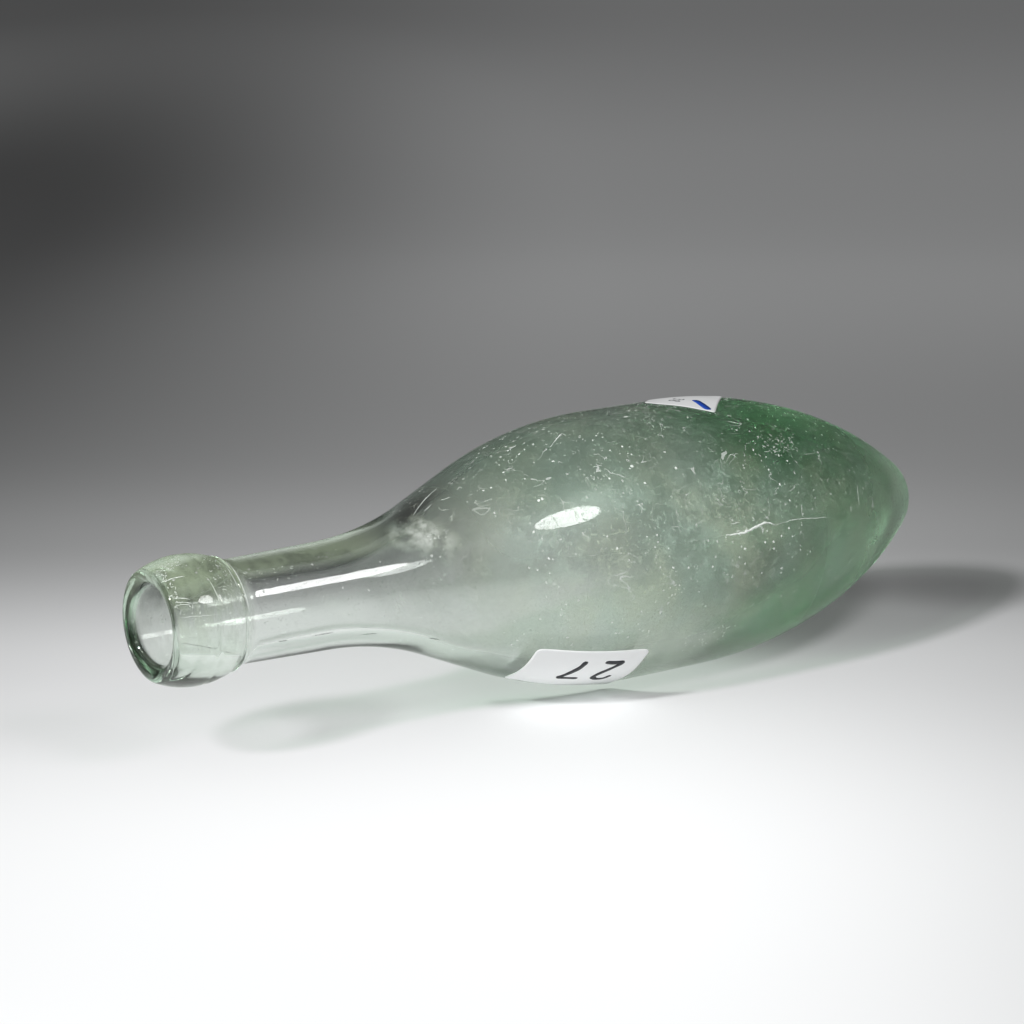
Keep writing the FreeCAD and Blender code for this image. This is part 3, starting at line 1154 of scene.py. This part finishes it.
def floorMaterial():
    s = stage
    material, tree, shader = newMaterial("paleFloor")
    setSockets(tree, shader, Roughness=0.9, Specular_IOR_Level=0.1)
    place = tree.nodes.new("ShaderNodeNewGeometry").outputs["Position"]
    along = reckonVector(tree, "DOT_PRODUCT", place, s["awayFromCamera"])
    across = reckonVector(tree, "DOT_PRODUCT", place, s["acrossView"])
    # the floor's colour carries painted light and shade, by distance along the view and by the dark patches
    share = addNode(tree, "ShaderNodeMapRange", Value=along, From_Min=s["rampFrom"], From_Max=s["rampTo"])
    paintedLightGreys = addNode(tree, "ShaderNodeValToRGB", Fac=share.outputs["Result"])
    paintedLightGreys.color_ramp.interpolation = "EASE"
    stops = paintedLightGreys.color_ramp.elements
    for i, (distance, grey) in enumerate(s["paintedLightGreys"]):
        position = (distance - s["rampFrom"]) / (s["rampTo"] - s["rampFrom"])
        stop = stops[0] if i == 0 else stops.new(position)
        stop.position = position
        stop.color = [grey * c for c in s["cast"]] + [1.0]
    stops.remove(stops[-1])  # the white stop that a new ramp ends with
    # painted shade and a painted shadow darken the floor's colour here
    dark = product(tree, 1.0, *(paintedShadePatch(tree, along, across, patch) for patch in s["dark"].values()))
    shaded = tree.nodes.new("ShaderNodeVectorMath")
    shaded.operation = "SCALE"
    connect(tree, paintedLightGreys.outputs["Color"], shaded.inputs[0])
    connect(tree, dark, shaded.inputs["Scale"])
    connect(tree, shaded.outputs["Vector"], shader.inputs["Base Color"])
    return material


def buildFloor():
    mesh = bpy.data.meshes.new("floor")
    half = stage["floorSize"] / 2
    corners = [(-half, -half, 0), (half, -half, 0), (half, half, 0), (-half, half, 0)]
    mesh.from_pydata(corners, [], [(0, 1, 2, 3)])
    mesh.materials.append(floorMaterial())
    floor = bpy.data.objects.new("floor", mesh)
    bpy.context.scene.collection.objects.link(floor)


lamps = {
    "key": {"towards": (0.031, -0.689, 0.724), "distance": 0.288, "size": (0.120, 0.078), "power": 0.42},
    "left": {"towards": (-0.77, -0.15, 0.62), "distance": 0.9, "size": (0.11, 0.11), "power": 7.0},
}


def buildLamps():
    lit = Vector((-0.0144, -0.0254, 0.0517))  # the belly's bright spot
    for name, lamp in lamps.items():
        data = bpy.data.lights.new(name + "Lamp", "AREA")
        data.shape = "ELLIPSE"
        data.size, data.size_y = lamp["size"]
        data.energy = lamp["power"]
        light = bpy.data.objects.new(name + "Lamp", data)
        towards = Vector(lamp["towards"]).normalized()
        light.location = lit + towards * lamp["distance"]
        light.rotation_euler = towards.to_track_quat("Z", "Y").to_euler()
        light.visible_camera = False
        bpy.context.scene.collection.objects.link(light)


def buildWorld():
    world = bpy.data.worlds.new("studio")
    world.use_nodes = True
    tree = world.node_tree
    path = tree.nodes.new("ShaderNodeLightPath")
    seen = reckon(tree, "MAXIMUM", path.outputs["Is Camera Ray"], path.outputs["Is Glossy Ray"])
    seen = reckon(tree, "MAXIMUM", seen, path.outputs["Is Transmission Ray"])
    # the glass mirrors a dark room, while the floor and labels get a soft light
    level = fade(tree, seen, 0.0, 1.0, stage["worldLight"], stage["worldSeen"])
    connect(tree, level, tree.nodes["Background"].inputs["Strength"])
    setSockets(tree, tree.nodes["Background"], Color=(1.0, 1.0, 1.0, 1.0))
    bpy.context.scene.world = world


photographer = {
    "aim": (-0.0132, 0.0, 0.0478),
    "distance": 0.7529,
    "swing": -35.18,
    "height": 13.93,
    "lens": 105.47,
    "sensor": 36.0,
}


def buildCamera():
    p = photographer
    swing, height = math.radians(p["swing"]), math.radians(p["height"])
    back = Vector((math.sin(swing) * math.cos(height), -math.cos(swing) * math.cos(height),
                   math.sin(height)))
    data = bpy.data.cameras.new("camera")
    data.lens = p["lens"]
    data.sensor_width = p["sensor"]
    camera = bpy.data.objects.new("camera", data)
    camera.location = Vector(p["aim"]) + back * p["distance"]
    camera.rotation_euler = back.to_track_quat("Z", "Y").to_euler()
    bpy.context.scene.collection.objects.link(camera)
    bpy.context.scene.camera = camera


buildFloor()
buildLamps()
buildWorld()
buildCamera()
bpy.context.scene.view_settings.view_transform = "Standard"
# light runs far inside the glass and through the stain's layers, and lamps reach the floor without caustics
paths = bpy.context.scene.cycles
paths.max_bounces = 18
paths.glossy_bounces = 9
paths.transmission_bounces = 18
paths.transparent_max_bounces = 32
paths.caustics_refractive = False
paths.caustics_reflective = False
print("stage ready")
